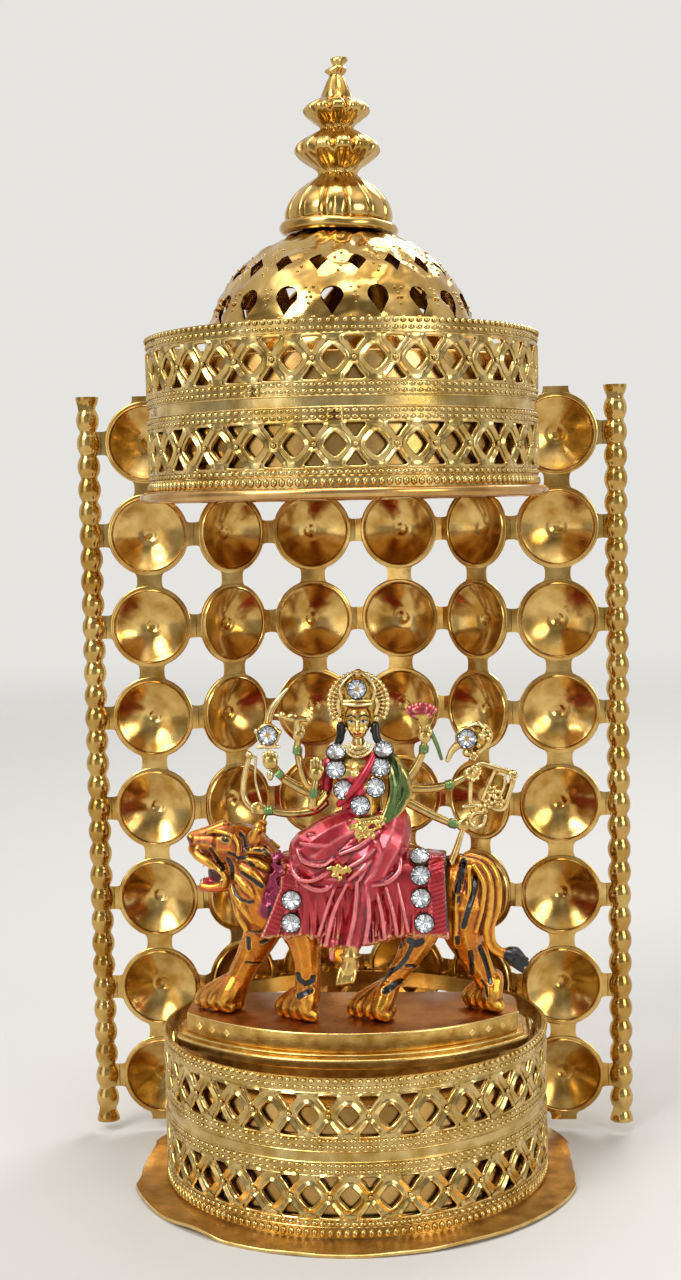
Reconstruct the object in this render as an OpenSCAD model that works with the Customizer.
// Miniature temple shrine in plated sheet metal, with an enamelled figure group.
// Two drums banded in pierced lattice strip carry a screen of dished cups.
// The front faces -Y, the tiger faces -X, and the base plate lies on Z = 0.

/* [Drums] */
// Outer radius of the lattice bands
drum_r = 32; // [29:0.5:35]
// Height of the pressed lattice strip
strip_h = 25; // [24:0.5:27]
// Thickness of the pressed lattice strip
strip_t = 0.5; // [0.4:0.1:0.8]
// Height that the beaded lines stand out of the strip
line_out = 0.25; // [0.15:0.05:0.4]
// Width of one beaded line
line_w = 0.8; // [0.6:0.05:0.9]
// Height of one pierced row in the strip
row_h = 6.7; // [6:0.1:7.2]
// Crossings round one band, in fours
cross_n = 32; // [24:4:36]
// Width of a lattice bar
bar_w = 1.6; // [1.2:0.05:1.9]
// Rim left between a row's holes and the beaded lines
hole_rim = 0.25; // [0.15:0.05:0.5]
// Gap between a band and the plain can inside it
can_gap = 0.5; // [0.3:0.1:1.5]
// Wall of the cans
can_t = 0.4; // [0.3:0.1:0.8]
// Depth of a can's lid below the rim of its band
lid_drop = 4.6; // [3.5:0.1:6]

/* [Base plate] */
// How far the base sheet stands out past the drum
plate_out = 6; // [4:0.5:10]
// Thickness of the base sheet
plate_t = 0.6; // [0.4:0.1:1.2]
// How far the sheet's snipped sides stand out past the drum
snip_out = 4.5; // [3.5:0.5:6]

/* [Pedestal] */
// Height of the cast pedestal's top above the base can's lid
ped_h = 8.8; // [8:0.1:11]
// Gap from the drum's face to the end of the top tier
ped_end_gap = 4.8; // [4.4:0.1:5.4]
// Gap from the drum's face to the front of the top tier
ped_fore_gap = 9.5; // [9:0.1:10]
// Gap from the flat back to the front, less than the drum's radius by this much
ped_back_gap = 7.5; // [7:0.5:8.5]
// How much more the front is bowed out than the drum
ped_bow_out = 4; // [2:1:6]
// Height of the top tier
tier_h = 3.2; // [2.6:0.1:3.6]
// Height of the lower tier with its moulded line
step_h = 2.2; // [1.8:0.1:2.6]
// Ledge of the lower tier outside the top tier
step_out = 1.8; // [1.2:0.1:2]
// How far the foot stands back under the top tier
foot_in = 3; // [2:0.5:5]

/* [Cup screen] */
// Distance between cup centres, both ways
pitch = 16.35; // [16:0.05:16.8]
// Rows of cups
rows = 8; // [6:1:8]
// Outer diameter of a cup's flange
cup_d = 14.6; // [13.6:0.1:15.2]
// Diameter of the raised rim inside the flange
cup_rim_d = 12.9; // [12:0.1:13.2]
// Depth of the dished cone
cup_deep = 2.6; // [1.6:0.1:3.2]
// Thickness of the stamped sheet
sheet_t = 0.4; // [0.3:0.05:0.6]
// Height of the raised rim above the sheet
rim_up = 0.35; // [0.2:0.05:0.5]
// Width of the tabs between cups in a column
tab_v = 5.2; // [4:0.1:6]
// Width of the tabs between columns
tab_h = 4.8; // [4:0.1:6]
// Height of the screen's lower edge above the table
screen_z = 1.8; // [1.4:0.1:4]
// Turn of the two middle columns
turn_mid = 14; // [13:0.5:15]
// Turn of the next two columns
turn_side = 42; // [41:0.5:44]
// Gap between the screen and the beaded lines of the drums
screen_gap = 0.05; // [0.02:0.01:0.2]

/* [Bead strips] */
// Diameter of the half round beads
bead_d = 4.2; // [4.1:0.05:4.4]
// Beads to one row of cups
beads_row = 4; // [4:1:4]
// Width of the strip behind the beads
bead_back_w = 2; // [1.4:0.1:3]

/* [Canopy] */
// Height of the clear space from the base band's rim to the canopy plate
niche_h = 87.9; // [84:0.1:92]
// Radius of the canopy plate over its rolled lip
lip_r = 33.8; // [33.4:0.1:36]
// Diameter of the rolled lip
lip_d = 1.7; // [1.2:0.1:2.2]
// Thickness of the canopy plate
roof_t = 0.5; // [0.4:0.1:0.8]
// Outer radius of the dome
dome_r = 23; // [21:0.5:25]
// Wall of the dome
dome_t = 0.5; // [0.4:0.1:0.8]
// Holes in each row of the dome
dome_n = 18; // [14:1:20]
// Height angle of the teardrop row
tear_up = 22; // [20:1:24]
// Width of a teardrop hole
tear_w = 3.6; // [3:0.1:4]
// Length of a teardrop hole
tear_l = 5.2; // [4.4:0.1:5.4]
// Height angle of the kite row
kite_up = 41.5; // [40:0.5:44]
// Width of a kite hole
kite_w = 3.1; // [2.2:0.1:3.4]
// Length of a kite hole
kite_l = 4; // [3:0.1:4.2]
// Turn of the kite row past the teardrops, as a share of one hole's pitch
kite_shift = 0.63; // [0.4:0.01:0.65]

/* [Finial] */
// Flutes round the finial
flutes = 12; // [8:1:14]
// Depth of a disc's flute as a share of the radius
flute_cut = 0.13; // [0.04:0.01:0.16]
// Depth of a melon's groove as a share of the radius
melon_cut = 0.06; // [0.03:0.01:0.1]
// Radius of the collar's rolled ring, to its middle
collar_r = 8.7; // [8:0.1:9.5]
// Diameter of the collar's rolled ring
collar_d = 2.2; // [1.8:0.1:2.6]
// Thickness of the collar's plate inside its ring
collar_t = 0.6; // [0.4:0.1:0.9]
// Radius of the stem under the melon
stem_r = 4; // [3:0.5:5]
// Lean of the collar, as the photographed one sits
collar_lean = 2.5; // [0:0.5:4]
// Radius of the fluted melon
melon_r = 8.9; // [8:0.1:9.4]
// Height of the fluted melon
melon_h = 7.9; // [7:0.1:9]
// Radius of the middle fluted disc
disc_r = 7.15; // [6.4:0.05:7.8]
// Height of the middle fluted disc
disc_h = 7.4; // [6.4:0.1:8]
// Radius of the upper fluted disc
top_disc_r = 5.3; // [4.6:0.1:6]
// Height of the upper fluted disc
top_disc_h = 5.2; // [4.6:0.1:6]
// Height of the pointed tip
tip_h = 6.7; // [5:0.1:8]
// Radius of the pleated cone at its foot
cone_r = 2.6; // [2.2:0.1:2.8]
// Radius of the knotted end over the cone
knot_r = 1.5; // [1.1:0.05:1.7]

/* [Figure group] */
// Length of the tiger from its nose to its tail's tuft
fig_len = 54.6; // [50:0.2:57]
// Distance of the tiger's middle plane in front of the drum axis
tiger_y = 11; // [10.6:0.1:11.4]
// Thickness of the tiger across its back
tiger_w = 9.4; // [8.8:0.1:10]
// Radius of the paws
paw_r = 2.1; // [1.9:0.05:2.3]
// Radius of the legs above the paws
leg_r = 1.9; // [1.7:0.05:2.1]
// Radius of the tail
tail_r = 1; // [0.8:0.05:1.2]
// Radius of the slender arms
arm_r = 0.75; // [0.65:0.05:0.85]
// Radius of the hands
hand_r = 1.1; // [1:0.05:1.25]
// Half width of the chest
chest_r = 2.9; // [2.7:0.05:3.1]
// Diameter of the faceted stones
stone_d = 3; // [2.8:0.05:3.2]
// Height of a stone out of its setting
stone_h = 1; // [0.8:0.05:1.3]
// Radius of the rods of the lance, bow and stem
rod_r = 0.45; // [0.38:0.01:0.55]

/* [Hidden] */

// Heights of the two drums
base_z = plate_t;
base_top = base_z + strip_h;
lid_z = base_top - lid_drop;
roof_z = base_top + niche_h;
band2_z = roof_z + lip_d;
roof_lid = band2_z + strip_h - lid_drop;
can_r = drum_r - strip_t - can_gap;

// Borders of the strip, from its top edge down
edge_lines = (strip_h - 2 * row_h) * 0.24;
mid_lines = (strip_h - 2 * row_h) * 0.2;
row_zs = [strip_h - edge_lines - row_h, edge_lines];
step_a = 360 / cross_n;
quarter = cross_n / 4;

// Stations of the folded screen, seen from above
drum_d = drum_r + line_out + screen_gap + sheet_t / 2;
// on a wider drum the side panels touch first
side_d = (drum_d - pitch * sin(turn_side - turn_mid)) * cos(turn_mid) / cos(turn_side);
screen_d = max(drum_d, side_d);
fold_y = screen_d / cos(turn_mid);
fold1 = [pitch * cos(turn_mid), fold_y - pitch * sin(turn_mid)];
fold2 = fold1 + pitch * [cos(turn_side), -sin(turn_side)];
mid_c = [pitch / 2 * cos(turn_mid), fold_y - pitch / 2 * sin(turn_mid)];
side_c = fold1 + pitch / 2 * [cos(turn_side), -sin(turn_side)];
wing_c = fold2 + [pitch / 2, 0];
bead_x = fold2[0] + pitch + bead_d / 2;
col_at = [[-wing_c[0], wing_c[1], 0], [-side_c[0], side_c[1], turn_side],
    [-mid_c[0], mid_c[1], turn_mid], [mid_c[0], mid_c[1], -turn_mid],
    [side_c[0], side_c[1], -turn_side], [wing_c[0], wing_c[1], 0]];

// Base sheet and pedestal, set from the drum
plate_r = drum_r + plate_out;
plate_side = drum_r + snip_out;
ped_half = drum_r - ped_end_gap;
ped_front = drum_r - ped_fore_gap;
ped_depth = drum_r - ped_back_gap;
ped_bow = drum_r + ped_bow_out;

// Levels of the pedestal
ped_top = lid_z + ped_h;
step_top = ped_top - tier_h;
step_z = step_top - step_h;

// Levels of the finial
collar_z = roof_lid + sqrt(dome_r * dome_r - collar_r * collar_r) + collar_d * 0.35;
melon_z = collar_z + collar_t / 2 + melon_r * sin(collar_lean) + 0.05;
disc_z = melon_z + melon_h;
top_disc_z = disc_z + disc_h;
tip_z = top_disc_z + top_disc_h;

fig_fn = 10;

// Sizes of the figure group inside its own scale
fig_k = fig_len / 54.6;
own_w = tiger_w / fig_k;
own_paw = paw_r / fig_k;
own_leg = leg_r / fig_k;
own_tail = tail_r / fig_k;
own_arm = arm_r / fig_k;
own_hand = hand_r / fig_k;
own_chest = chest_r / fig_k;
own_stone = stone_d / fig_k;
own_stone_h = stone_h / fig_k;
own_rod = rod_r / fig_k;

// Stones: garland, crown, sword guard, mace and saddle cloth
garland_at = [[-2.4, -2.6, 43.8], [-2.5, -2.7, 40.7], [-1.2, -2.9, 37.6],
    [1.4, -3.1, 35.2], [4.2, -2.9, 37.8], [4.9, -2.7, 41], [5.1, -2.6, 44.1]];
crown_at = [2.2, -3.1, 53.2];
guard_at = [-12.3, -2.8, 46];
mace_at = [19.6, -3.2, 45.2];
cloth_at = [[-8.6, -5.9, 21.6], [-8.6, -5.9, 18], [12, -5.9, 28.6], [12.2, -5.9, 25.2],
    [12.3, -5.9, 21.6], [12.6, -5.9, 17.9]];
stone_at = concat(garland_at, [crown_at, guard_at, mace_at], cloth_at);

// Strip and drums

// One line of the strip's section, out of the face at r
function ridge(z, w, r) = [[r, z], [r + line_out, z + w * 0.3], [r + line_out, z + w * 0.7],
    [r, z + w]];

// Lines of one border, spread over its height
function border(z, h, n) = [for (i = [0 : n - 1]) for (p = ridge(z + h / n * (i + 0.5)
    - line_w / 2, min(line_w, h / n - 0.02), drum_r)) p];

module strip_section() {
    polygon(concat([[drum_r - strip_t, 0], [drum_r, 0]],
        border(0.02, edge_lines - 0.04, 2),
        border(edge_lines + row_h, mid_lines, 2),
        border(strip_h - edge_lines - row_h - mid_lines, mid_lines, 2),
        border(strip_h - edge_lines + 0.02, edge_lines - 0.04, 2),
        [[drum_r, strip_h], [drum_r - strip_t, strip_h]]));
}

module band_quarter(z, turn) {
    w = 2 * drum_r * tan(step_a / 2);
    color("goldenrod")
    translate([0, 0, z])
    rotate([0, 0, turn])
    difference() {
        rotate_extrude(angle = 90, $fn = 96) strip_section();
        for (i = [0 : quarter - 1])
            for (rz = row_zs)
                translate([0, 0, rz + row_h / 2])
                rotate([90, 0, 90 + (i + 0.5) * step_a])
                translate([0, 0, drum_r - strip_t - 0.6])
                linear_extrude(height = strip_t + line_out + 1.2)
                lattice_hole(w, row_h);
    }
}

// One crossing's share: triangles over and under, half diamonds left and right
module lattice_hole(w, h) {
    // half diamond inside the bars' edges
    k = 1 - bar_w / 2 * norm([2 / w, 2 / h]);
    // triangle from its apex to its base
    y0 = bar_w / 2 / cos(atan2(h, w));
    y1 = h / 2 - hole_rim;
    x1 = (y1 - y0) * w / h;
    for (s = [-1, 1]) {
        polygon([[s * w / 2, -h / 2 * k], [s * w / 2 * (1 - k), 0], [s * w / 2, h / 2 * k]]);
        polygon([[-x1, s * y1], [x1, s * y1], [0, s * y0]]);
    }
}

module base_band_front() band_quarter(base_z, 225);
module base_band_right() band_quarter(base_z, 315);
module base_band_back() band_quarter(base_z, 45);
module base_band_left() band_quarter(base_z, 135);
module canopy_band_front() band_quarter(band2_z, 225);
module canopy_band_right() band_quarter(band2_z, 315);
module canopy_band_back() band_quarter(band2_z, 45);
module canopy_band_left() band_quarter(band2_z, 135);

module can(z, h) {
    translate([0, 0, z])
    difference() {
        cylinder(r = can_r, h = h, $fn = 96);
        translate([0, 0, -1]) cylinder(r = can_r - can_t, h = h + 1 - can_t, $fn = 96);
    }
}

module base_can() color("darkgoldenrod") can(base_z, lid_z - base_z);
module canopy_can() color("darkgoldenrod") can(band2_z, roof_lid - band2_z);

module base_plate() {
    color("peru")
    intersection() {
        cylinder(r = plate_r, h = plate_t, $fn = 120);
        translate([-plate_side, -plate_r, 0]) cube([2 * plate_side, 2 * plate_r, plate_t]);
    }
}

// Pedestal

// Outline with a bowed front and a flat back, grown by g
module ped_slab(g, z0, z1, c = 5) {
    back = ped_depth - ped_front + g;
    half = ped_half + g;
    intersection() {
        translate([0, ped_bow - ped_front, z0])
            cylinder(r = ped_bow + g, h = z1 - z0, $fn = 120);
        translate([0, 0, z0]) union() {
            translate([-half, -ped_front - 3, 0])
                cube([2 * half, ped_front + 3 + back - c, z1 - z0]);
            translate([-half + c, -ped_front - 3, 0])
                cube([2 * half - 2 * c, ped_front + 3 + back, z1 - z0]);
            for (s = [-1, 1])
                translate([s * (half - c), back - c, 0])
                    cylinder(r = c, h = z1 - z0, $fn = 48);
        }
    }
}

module pedestal() {
    color("darkgoldenrod") {
        ped_slab(-foot_in, lid_z, step_z);
        ped_slab(step_out, step_z, step_z + step_h * 0.72);
        ped_slab(step_out * 0.55, step_z + step_h * 0.72, step_top);
        ped_slab(0, step_top, ped_top - 0.4);
        ped_slab(-0.35, ped_top - 0.4, ped_top);
    }
}

// Cup screen

module cup() {
    r = cup_d / 2;
    q = cup_rim_d / 2;
    t = sheet_t;
    rotate([90, 0, 0])
    rotate_extrude($fn = 60)
    polygon([[0, -cup_deep], [1, -cup_deep], [q - 0.55, t / 2 - 0.1], [q - 0.2, t / 2 + rim_up],
        [q + 0.25, t / 2 + rim_up], [q + 0.5, t / 2], [r, t / 2], [r, -t / 2], [q - 0.25, -t / 2],
        [1.15, -cup_deep - t], [0, -cup_deep - t]]);
}

// A column of cups with its tabs; n0 and n1 are the folds at its left and right
module column(at, n0, n1) {
    t = sheet_t;
    e0 = t / 2 * tan(n0 / 2);
    e1 = t / 2 * tan(n1 / 2);
    tab_in = cup_d / 2 - 0.5;
    half = pitch / 2;
    color("gold")
    translate([at[0], at[1], screen_z + half])
    rotate([0, 0, at[2]]) {
        for (i = [0 : rows - 1]) translate([0, 0, i * pitch]) {
            cup();
            for (s = [-1, 1])
                translate([-tab_v / 2, -t / 2, s > 0 ? tab_in : -half])
                    cube([tab_v, t, half - tab_in]);
            translate([-half + e0, -t / 2, -tab_h / 2]) cube([half - e0 - tab_in, t, tab_h]);
            translate([tab_in, -t / 2, -tab_h / 2]) cube([half - e1 - tab_in, t, tab_h]);
        }
    }
}

module screen_column_1() column(col_at[0], 0, turn_side);
module screen_column_2() column(col_at[1], turn_side, turn_side - turn_mid);
module screen_column_3() column(col_at[2], turn_side - turn_mid, 2 * turn_mid);
module screen_column_4() column(col_at[3], 2 * turn_mid, turn_side - turn_mid);
module screen_column_5() column(col_at[4], turn_side - turn_mid, turn_side);
module screen_column_6() column(col_at[5], turn_side, 0);

module bead_strip(s) {
    n = rows * beads_row;
    p = pitch / beads_row;
    color("gold")
    translate([s * bead_x, wing_c[1], screen_z]) {
        intersection() {
            for (i = [0 : n]) translate([0, -sheet_t / 2, i * p]) sphere(d = bead_d, $fn = 36);
            translate([-bead_d / 2, -bead_d, 0]) cube([bead_d, bead_d - sheet_t / 2, n * p]);
        }
        translate([-bead_back_w / 2, -sheet_t / 2 - 0.05, 0])
            cube([bead_back_w, sheet_t + 0.05, n * p]);
        for (i = [0 : rows - 1])
            translate([s > 0 ? -bead_d / 2 : 0, -sheet_t / 2, (i + 0.5) * pitch - tab_h / 2])
                cube([bead_d / 2, sheet_t, tab_h]);
    }
}

module bead_strip_left() bead_strip(-1);
module bead_strip_right() bead_strip(1);

// Canopy

// The space on and behind the folded screen, kept clear by the canopy plate
module behind_screen() {
    d = drum_r + line_out + screen_gap / 2;
    for (a = [-turn_side, -turn_mid, turn_mid, turn_side])
        rotate([0, 0, a]) translate([-40, d, roof_z - 1]) cube([80, 20, lip_d + 2]);
}

module canopy_plate() {
    color("rosybrown")
    difference() {
        union() {
            translate([0, 0, band2_z - roof_t])
                cylinder(r = lip_r - lip_d / 2, h = roof_t, $fn = 120);
            translate([0, 0, roof_z + lip_d / 2])
                rotate_extrude($fn = 120) translate([lip_r - lip_d / 2, 0])
                circle(d = lip_d, $fn = 20);
        }
        behind_screen();
    }
}

module tear_cut() {
    r = tear_w / 2;
    linear_extrude(height = 6)
    polygon(concat([for (a = [-20 : 20 : 200]) [r * cos(a), r * sin(a) + tear_l / 2 - r]],
        [[0, -tear_l / 2]]));
}

module kite_cut() {
    linear_extrude(height = 6)
    polygon([[0, -kite_l * 0.6], [kite_w / 2, 0], [0, kite_l * 0.4], [-kite_w / 2, 0]]);
}

module dome() {
    color("gold")
    translate([0, 0, roof_lid])
    difference() {
        sphere(r = dome_r, $fn = 96);
        sphere(r = dome_r - dome_t, $fn = 96);
        translate([-dome_r - 1, -dome_r - 1, -dome_r - 1])
            cube([2 * dome_r + 2, 2 * dome_r + 2, dome_r + 1]);
        for (i = [0 : dome_n - 1]) {
            rotate([0, 0, i * 360 / dome_n - 90]) rotate([0, -tear_up, 0])
                translate([dome_r - 3, 0, 0]) rotate([90, 0, 90]) tear_cut();
            rotate([0, 0, (i + kite_shift) * 360 / dome_n - 90]) rotate([0, -kite_up, 0])
                translate([dome_r - 3, 0, 0]) rotate([90, 0, 90]) kite_cut();
        }
    }
}

module finial_collar() {
    color("gold")
    difference() {
        translate([0, 0, collar_z])
        rotate([0, collar_lean, 0])
        rotate_extrude($fn = 72) {
            translate([collar_r, 0]) circle(d = collar_d, $fn = 24);
            translate([stem_r + 0.25, -collar_t / 2]) square([collar_r - stem_r, collar_t]);
        }
        translate([0, 0, roof_lid]) sphere(r = dome_r, $fn = 96);
    }
}

// Radius at share u of a bulge from r0 up to its rim rm, then rounded in to r1
function dome_in(u, rm, r1, peak) = r1 + (rm - r1) * cos(90 * (u - peak) / (1 - peak));
function bulge(u, r0, rm, r1, peak) = u < peak
    ? r0 + (rm - r0) * sin(90 * u / peak) : dome_in(u, rm, r1, peak);
// The discs flare out of their necks in an S
function flare(u, r0, rm, r1, peak) = u < peak
    ? r0 + (rm - r0) * (1 - cos(180 * u / peak)) / 2 : dome_in(u, rm, r1, peak);

// Necks over the melon, between the discs and under the cone
neck_1 = melon_r * 0.36;
neck_2 = top_disc_r * 0.51;
neck_3 = cone_r;
// Each ring of the finial: height, radius, depth of its flutes
melon_rings = [for (i = [0 : 7]) let (u = i / 7)
    [melon_z + u * melon_h, bulge(u, melon_r * 0.92, melon_r, neck_1, 0.15), melon_cut]];
disc_rings = [for (i = [0.1 : 1 : 9.1]) let (u = i / 9.1)
    [disc_z + u * disc_h, flare(u, neck_1, disc_r, neck_2 * 1.1, 0.545), flute_cut]];
top_rings = [for (i = [0.1 : 1 : 7.1]) let (u = i / 7.1)
    [top_disc_z + u * top_disc_h, flare(u, neck_2, top_disc_r, neck_3, 0.6), flute_cut]];
rings = concat(melon_rings, disc_rings, top_rings);
around = flutes * 4;

function flute(k, cut) = 1 - cut * (k % 4 == 0 ? 1 : k % 4 == 2 ? 0 : 0.3);

module finial_solid() {
    n = len(rings);
    pts = concat([for (q = rings) for (k = [0 : around - 1])
        let (a = k * 360 / around, r = q[1] * flute(k, q[2])) [r * cos(a), r * sin(a), q[0]]],
        [[0, 0, rings[0][0]], [0, 0, rings[n - 1][0]]]);
    low = n * around;
    polyhedron(points = pts, faces = concat(
        [for (k = [0 : around - 1]) [low, k, (k + 1) % around]],
        [for (i = [0 : n - 2]) for (k = [0 : around - 1])
            [i * around + k, (i + 1) * around + k, i * around + (k + 1) % around]],
        [for (i = [0 : n - 2]) for (k = [0 : around - 1])
            [i * around + (k + 1) % around, (i + 1) * around + k,
                (i + 1) * around + (k + 1) % around]],
        [for (k = [0 : around - 1])
            [low + 1, (n - 1) * around + (k + 1) % around, (n - 1) * around + k]]));
}

module finial() {
    color("gold") {
        finial_solid();
        difference() {
            translate([0, 0, roof_lid + dome_r - 1])
                cylinder(r = stem_r, h = melon_z - roof_lid - dome_r + 1, $fn = 36);
            translate([0, 0, roof_lid]) sphere(r = dome_r, $fn = 96);
        }
        tip();
    }
}

// Pleated cone and the knotted wire end over it, which leans to the right
module tip() {
    cone_h = tip_h * 0.6;
    pleats = 5;
    for (i = [0 : pleats - 1]) rotate([0, 0, i * 360 / pleats])
        hull() {
            translate([cone_r * 0.42, 0, tip_z]) cylinder(r = cone_r * 0.5, h = 0.1, $fn = 16);
            translate([0, 0, tip_z + cone_h]) cylinder(r = knot_r * 0.55, h = 0.1, $fn = 16);
        }
    translate([0.1, 0, tip_z + cone_h]) rotate([0, 14, 0]) {
        scale([1, 0.85, 0.62]) sphere(r = knot_r, $fn = 24);
        cylinder(r1 = knot_r * 0.75, r2 = knot_r * 0.6, h = tip_h * 0.22, $fn = 20);
        translate([0, 0, tip_h * 0.26]) scale([1, 0.8, 0.75]) sphere(r = knot_r * 0.85, $fn = 24);
    }
}

// Figure group

module ball(p, r, k = [1, 1, 1]) translate(p) scale(k) sphere(r = r, $fn = fig_fn);

// Straight round rod from p to q
module rod(p, q, r) {
    d = q - p;
    translate(p)
        rotate([0, acos(d[2] / norm(d)), atan2(d[1], d[0])])
        cylinder(r = r, h = norm(d), $fn = 20);
}

module limb(pts, rs) {
    for (i = [0 : len(pts) - 2]) hull() {
        ball(pts[i], rs[i]);
        ball(pts[i + 1], rs[i + 1]);
    }
}

// Everything of the figure group is set from the tiger's middle plane on the pedestal
module on_pedestal() translate([0, -tiger_y, ped_top]) scale(fig_k) children();

module tiger_trunk() {
    k = own_w / 2;
    hull() {
        ball([-12.5, 0, 20], 7, [1, k / 7, 1]);
        ball([-5, 0, 19.3], 6.2, [1, k / 6.6, 1]);
        ball([8, 0, 19.3], 6, [1, k / 6.8, 1]);
        ball([17.5, 0, 19], 6.6, [1, k / 6.6, 1]);
    }
    // neck up to the head
    hull() {
        ball([-12.5, 0, 21.5], 6.2, [1, k / 6.6, 1]);
        ball([-14.2, 0, 26], 5, [1, 0.85, 1]);
    }
}

module tiger_skull() {
    hull() {
        ball([-15.5, 0, 26.6], 4.4, [0.9, 0.95, 1]);
        ball([-19, 0, 28.3], 2.9, [1, 1.15, 1]);
    }
    hull() {
        ball([-19, 0, 27.6], 2.8, [1, 1.1, 1]);
        ball([-24.4, 0, 27.2], 1.7, [1, 1.4, 1]);
    }
    // lower jaw of the open mouth
    hull() {
        ball([-17.8, 0, 22.8], 2.2, [1, 1.2, 1]);
        ball([-23.6, 0, 21.2], 1, [1.2, 1.5, 0.9]);
    }
    for (s = [-1, 1]) hull() {
        ball([-15.2, s * 2.9, 29.8], 1);
        ball([-14.6, s * 3.4, 31.2], 0.6);
    }
}

// A leg from shoulder to paw, with its paw pointing to -X
module leg(pts, y, r) {
    limb([for (p = pts) [p[0], y, p[1]]], r);
    last = pts[len(pts) - 1];
    hull() {
        ball([last[0] - 0.2, y, own_paw], own_paw, [1, 1.1, 1]);
        ball([last[0] - 2.2, y, own_paw * 0.7], own_paw * 0.7, [1, 1.6, 1]);
    }
    // four toes fan out in front
    for (s = [-1.5, -0.5, 0.5, 1.5])
        ball([last[0] - 3.7 + abs(s) * 0.35, y + s * own_paw * 0.52, own_paw * 0.42],
            own_paw * 0.42, [2.1, 0.82, 1]);
}

module legs_fore() {
    leg([[-14.5, 15], [-17.6, 9], [-20.4, 3.6]], 2, [3.2, own_leg * 1.1, own_leg]);
    leg([[-6.6, 14.5], [-5.6, 8.5], [-6.6, 3.4]], -2.4, [3.4, own_leg * 1.15, own_leg]);
}

module legs_hind() {
    leg([[11, 14.5], [9.6, 9.5], [4.4, 3.4]], -2.4, [3.6, own_leg * 1.1, own_leg]);
    leg([[19.6, 15], [21.4, 9.5], [24, 3.6]], 2, [4.2, own_leg * 1.15, own_leg]);
}

module tail_run() {
    limb([[22.6, 2.6, 24.2], [24.6, 4.4, 19], [24.6, 5.2, 13], [25.2, 5.2, 9.4]],
        [own_tail * 1.5, own_tail, own_tail, own_tail]);
    hull() {
        ball([25.8, 5.2, 8.4], own_tail * 1.5);
        ball([28.2, 5.2, 6.6], own_tail * 1.2);
    }
}

module tiger_body() {
    color("orange") on_pedestal() tiger_trunk();
}

module tiger_head() {
    color("orange") on_pedestal() difference() {
        tiger_skull();
        tiger_trunk();
    }
}

module tiger_forelegs() {
    color("orange") on_pedestal() difference() {
        legs_fore();
        tiger_trunk();
        floor_cut();
    }
}

module tiger_hindlegs() {
    color("orange") on_pedestal() difference() {
        legs_hind();
        tiger_trunk();
        floor_cut();
    }
}

// Trims paws flat on the pedestal
module floor_cut() translate([-40, -20, -10]) cube([80, 40, 10]);

module tiger_tail() {
    color("orange") on_pedestal() difference() {
        tail_run();
        tiger_trunk();
        legs_hind();
    }
}

// The cloth lies over the back and hangs down both sides
module cloth_raw() {
    k = own_w / 2;
    for (p = cloth_at) setting(p, own_stone * 0.83);
    intersection() {
        hull() {
            ball([-12.5, 0, 20], 7.6, [1, (k + 0.7) / 7.2, 1]);
            ball([17.5, 0, 19], 7.2, [1, (k + 0.7) / 7, 1]);
        }
        hull() {
            translate([-12, -10, 13.9]) cube([28.2, 20, 1]);
            translate([-10.4, -10, 27]) cube([26.4, 20, 1]);
        }
    }
}

module saddle_cloth() {
    color("crimson") on_pedestal() difference() {
        cloth_raw();
        tiger_trunk();
        tiger_skull();
        legs_fore();
        legs_hind();
    }
}

// Seated figure: folded leg to the left, the other hanging down to its foot
module skirt_raw() {
    hull() {
        ball([2.6, -0.5, 31], 3.2, [1.2, 0.9, 0.9]);
        ball([7, -0.2, 29.4], 3.6, [1, 1, 0.9]);
        ball([0, -1, 28.4], 3.4, [1.3, 1, 0.9]);
    }
    hull() {
        ball([1, -2.6, 28.4], 3.3);
        ball([-6.6, -4.4, 27.4], 3.3, [1, 0.9, 0.95]);
    }
    hull() {
        ball([-6.6, -4.6, 26.6], 3, [1, 0.8, 1]);
        ball([-2, -6, 23], 2.4, [1.4, 0.7, 1]);
    }
    hull() {
        ball([6, -3.2, 27.6], 3.2);
        ball([3, -6, 22], 3.2, [1.3, 0.7, 1]);
    }
    hull() {
        ball([3, -6, 22], 3.2, [1.3, 0.7, 1]);
        ball([0.3, -6.8, 14.5], 2.2, [1.9, 0.7, 1]);
    }
    // foot under the hem
    hull() {
        ball([0, -7, 10.8], 1.2);
        ball([-0.2, -8, 8], 1.2, [1.1, 1.2, 0.9]);
    }
    ball([0.1, -6.9, 12.2], 1.3);
}

module skirt() {
    color("crimson") on_pedestal() difference() {
        skirt_raw();
        cloth_raw();
        tiger_trunk();
        legs_fore();
        legs_hind();
    }
}

module chest() ball([2.4, -0.4, 37.5], own_chest, [1, 0.7, 1]);

module torso_raw() {
    hull() {
        ball([2.5, -0.2, 32], own_chest, [1, 0.75, 1]);
        chest();
    }
    hull() {
        chest();
        ball([-1.6, 0, 41.2], own_chest * 0.48);
        ball([6.2, 0, 40.9], own_chest * 0.48);
    }
    limb([[2.3, -0.2, 41.5], [2.2, -0.5, 44.8]], [own_chest * 0.52, own_chest * 0.38]);
    for (p = garland_at) setting(p, own_stone * 0.8);
}

module torso() {
    color("gold") on_pedestal() difference() {
        torso_raw();
        skirt_raw();
    }
}

module head_raw() {
    hull() {
        ball([2.2, -0.8, 48.8], 2.4, [0.92, 0.95, 1.05]);
        ball([2.2, -1.5, 46], 1, [1.1, 1, 0.9]);
    }
}

module head() {
    color("gold") on_pedestal() difference() {
        head_raw();
        torso_raw();
    }
}

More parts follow.
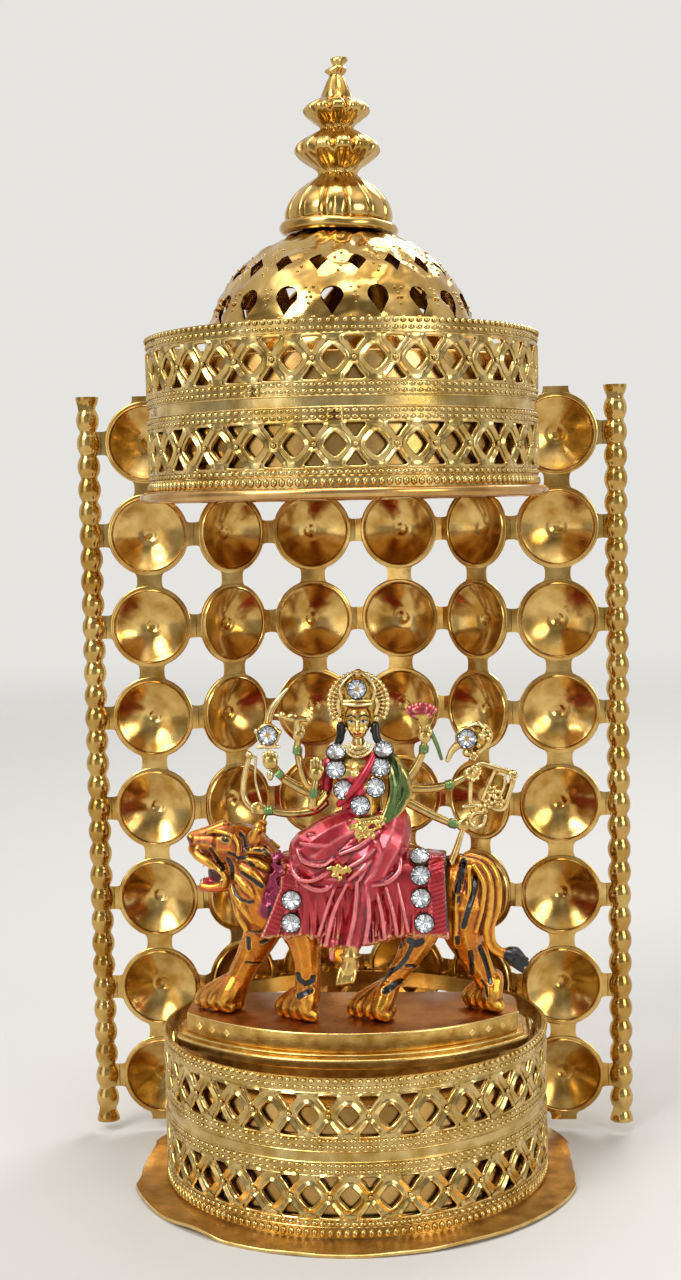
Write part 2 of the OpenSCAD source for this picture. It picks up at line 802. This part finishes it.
// Tall crown with its beaded halo
module crown() {
    color("gold") on_pedestal() difference() {
        union() {
            translate([2.2, 1, 50]) rotate([90, 0, 0]) cylinder(r = 5.1, h = 0.9, $fn = 48);
            for (i = [0 : 14]) translate([2.2, 0.55, 50])
                rotate([0, i * 16 - 112, 0]) translate([0, 0, 5]) sphere(r = 0.62, $fn = 14);
            hull() {
                ball([2.2, -0.6, 51], 2.7, [0.95, 0.8, 0.8]);
                ball([2.2, 0, 55.2], 0.9);
            }
            setting(crown_at, own_stone * 0.67);
        }
        head_raw();
        torso_raw();
    }
}

// One arm: shoulder, elbow, wrist and hand
module arm(s, e, w) {
    limb([s, e, w], [own_arm * 1.15, own_arm, own_arm * 0.9]);
    ball(w, own_hand);
}

module arms_left() {
    arm([-2, 0, 40.6], [-6.4, -1.2, 39.6], [-7.2, -2, 45.4]);
    arm([-2, 0, 40], [-7, -1, 37.4], [-12, -2, 41.6]);
    arm([-1.8, 0, 39], [-7.6, -1, 35], [-13.4, -2, 34.6]);
    arm([-1.6, -1, 38.6], [-4.4, -3.6, 34.6], [-4.6, -5, 39.2]);
}

module arms_right() {
    arm([6.8, 0, 40.4], [10.4, -1.2, 38.6], [12.6, -2, 44.6]);
    arm([6.8, 0, 39.4], [11.4, -1, 38], [17.6, -2, 39.6]);
    arm([6.6, 0, 38.2], [11.2, -1, 33.8], [17.4, -2, 31]);
    arm([6.4, -1, 38], [7.4, -3.4, 34.6], [3.6, -4.4, 33.8]);
}

module left_arms() {
    color("gold") on_pedestal() difference() {
        arms_left();
        torso_raw();
        skirt_raw();
    }
}

module right_arms() {
    color("gold") on_pedestal() difference() {
        arms_right();
        torso_raw();
        skirt_raw();
    }
}

// Curved sword in the second left hand, with its round guard
module sword() {
    color("gold") on_pedestal() difference() {
        union() {
            limb([[-12, -2, 41], [-12.4, -2.2, 45.2]], [0.8, 1]);
            translate([-12.3, -1.4, 46]) rotate([90, 0, 0])
                cylinder(d = own_stone + 1, h = 1.4, $fn = 36);
            hull() {
                ball([-12.2, -1.6, 46.5], 0.9, [1, 0.5, 1]);
                ball([-10.6, -1.2, 50.6], 0.9, [1, 0.4, 1]);
            }
            hull() {
                ball([-10.6, -1.2, 50.6], 0.9, [1, 0.4, 1]);
                ball([-8.9, -1, 53.6], 0.4, [1, 0.5, 1]);
            }
        }
        arms_left();
    }
}

// Bow held upright by the third left hand
module bow() {
    color("gold") on_pedestal() difference() {
        limb([[-12.6, -2, 41.2], [-15.6, -2, 42], [-16.5, -2, 38.4], [-15.6, -2, 34],
            [-13.4, -2, 32.4]], [own_rod, own_rod, own_rod * 1.3, own_rod, own_rod]);
        arms_left();
    }
}

// Short club held level in the raised left hand
module thunderbolt() {
    color("gold") on_pedestal() difference() {
        union() {
            translate([-7.6, -2, 46.2]) cylinder(r1 = 0.9, r2 = 1.2, h = 2, $fn = 20);
            translate([-7.6, -2, 48.2]) cylinder(r1 = 1.2, r2 = 2.9, h = 0.5, $fn = 24);
            translate([-7.6, -2, 48.7]) cylinder(r = 2.9, h = 0.5, $fn = 24);
        }
        arms_left();
    }
}

// Lotus in the raised right hand, its stem running down to the lower one
module lotus() {
    color("crimson") on_pedestal() difference() {
        union() {
            translate([12.4, -2, 45.6]) cylinder(r1 = 0.8, r2 = 1.6, h = 2.2, $fn = 20);
            hull() {
                ball([12.4, -2, 48.6], 1.7, [1, 0.8, 0.8]);
                ball([12.4, -2, 50], 2.9, [1, 0.7, 0.45]);
            }
            limb([[13.2, -2, 46.6], [14.4, -2.3, 44.4], [15.4, -2, 41.6]],
                [own_rod, own_rod, own_rod]);
        }
        arms_right();
    }
}

// Mace with a stone in its head
module mace() {
    color("gold") on_pedestal() difference() {
        union() {
            limb([[17.2, -2, 39.6], [18.2, -2, 42.6], [19.4, -2, 44.6]], [0.7, 1.5, 2.1]);
            translate([19.6, -1.8, 45.2]) rotate([90, 0, 0])
                cylinder(d = own_stone + 1, h = 1.4, $fn = 36);
            limb([[18.4, -2, 39.8], [21.6, -2, 39.4], [24.6, -2, 37.6]], [1, 1.5, 0.8]);
        }
        arms_right();
    }
}

// Lance held slanting by the third right hand, resting on the cloth
module lance() {
    color("gold") on_pedestal() difference() {
        union() {
            rod([15.4, -5.2, 23.4], [20.6, -2.2, 33.4], own_rod);
            for (a = [-1.7, 0, 1.7])
                rod([20.4, -2.2, 33.2], [22.6 + a * 0.4, -2.2, 36.2 - a], own_rod * 0.8);
        }
        arms_right();
        cloth_raw();
    }
}

// Round cup that a stone sits on, from its back to a depth
module setting(p, deep) {
    translate([p[0], p[1] + deep, p[2]]) rotate([90, 0, 0])
        cylinder(d = own_stone + 0.5, h = deep, $fn = 32);
}

// A faceted stone, flat back at p, facing the viewer
module stone(p) {
    translate([p[0], p[1], p[2]]) rotate([90, 0, 0]) {
        cylinder(d1 = own_stone, d2 = own_stone, h = 0.3, $fn = 24);
        translate([0, 0, 0.3])
            cylinder(d1 = own_stone, d2 = own_stone * 0.62, h = own_stone_h - 0.3, $fn = 24);
    }
}

module stones() {
    color("lightcyan") on_pedestal() for (p = stone_at) stone(p);
}

base_plate();
base_can();
base_band_front();
base_band_right();
base_band_back();
base_band_left();
pedestal();
screen_column_1();
screen_column_2();
screen_column_3();
screen_column_4();
screen_column_5();
screen_column_6();
bead_strip_left();
bead_strip_right();
canopy_plate();
canopy_can();
canopy_band_front();
canopy_band_right();
canopy_band_back();
canopy_band_left();
dome();
finial_collar();
finial();
tiger_body();
tiger_head();
tiger_forelegs();
tiger_hindlegs();
tiger_tail();
saddle_cloth();
skirt();
torso();
head();
crown();
left_arms();
right_arms();
sword();
bow();
thunderbolt();
lotus();
mace();
lance();
stones();
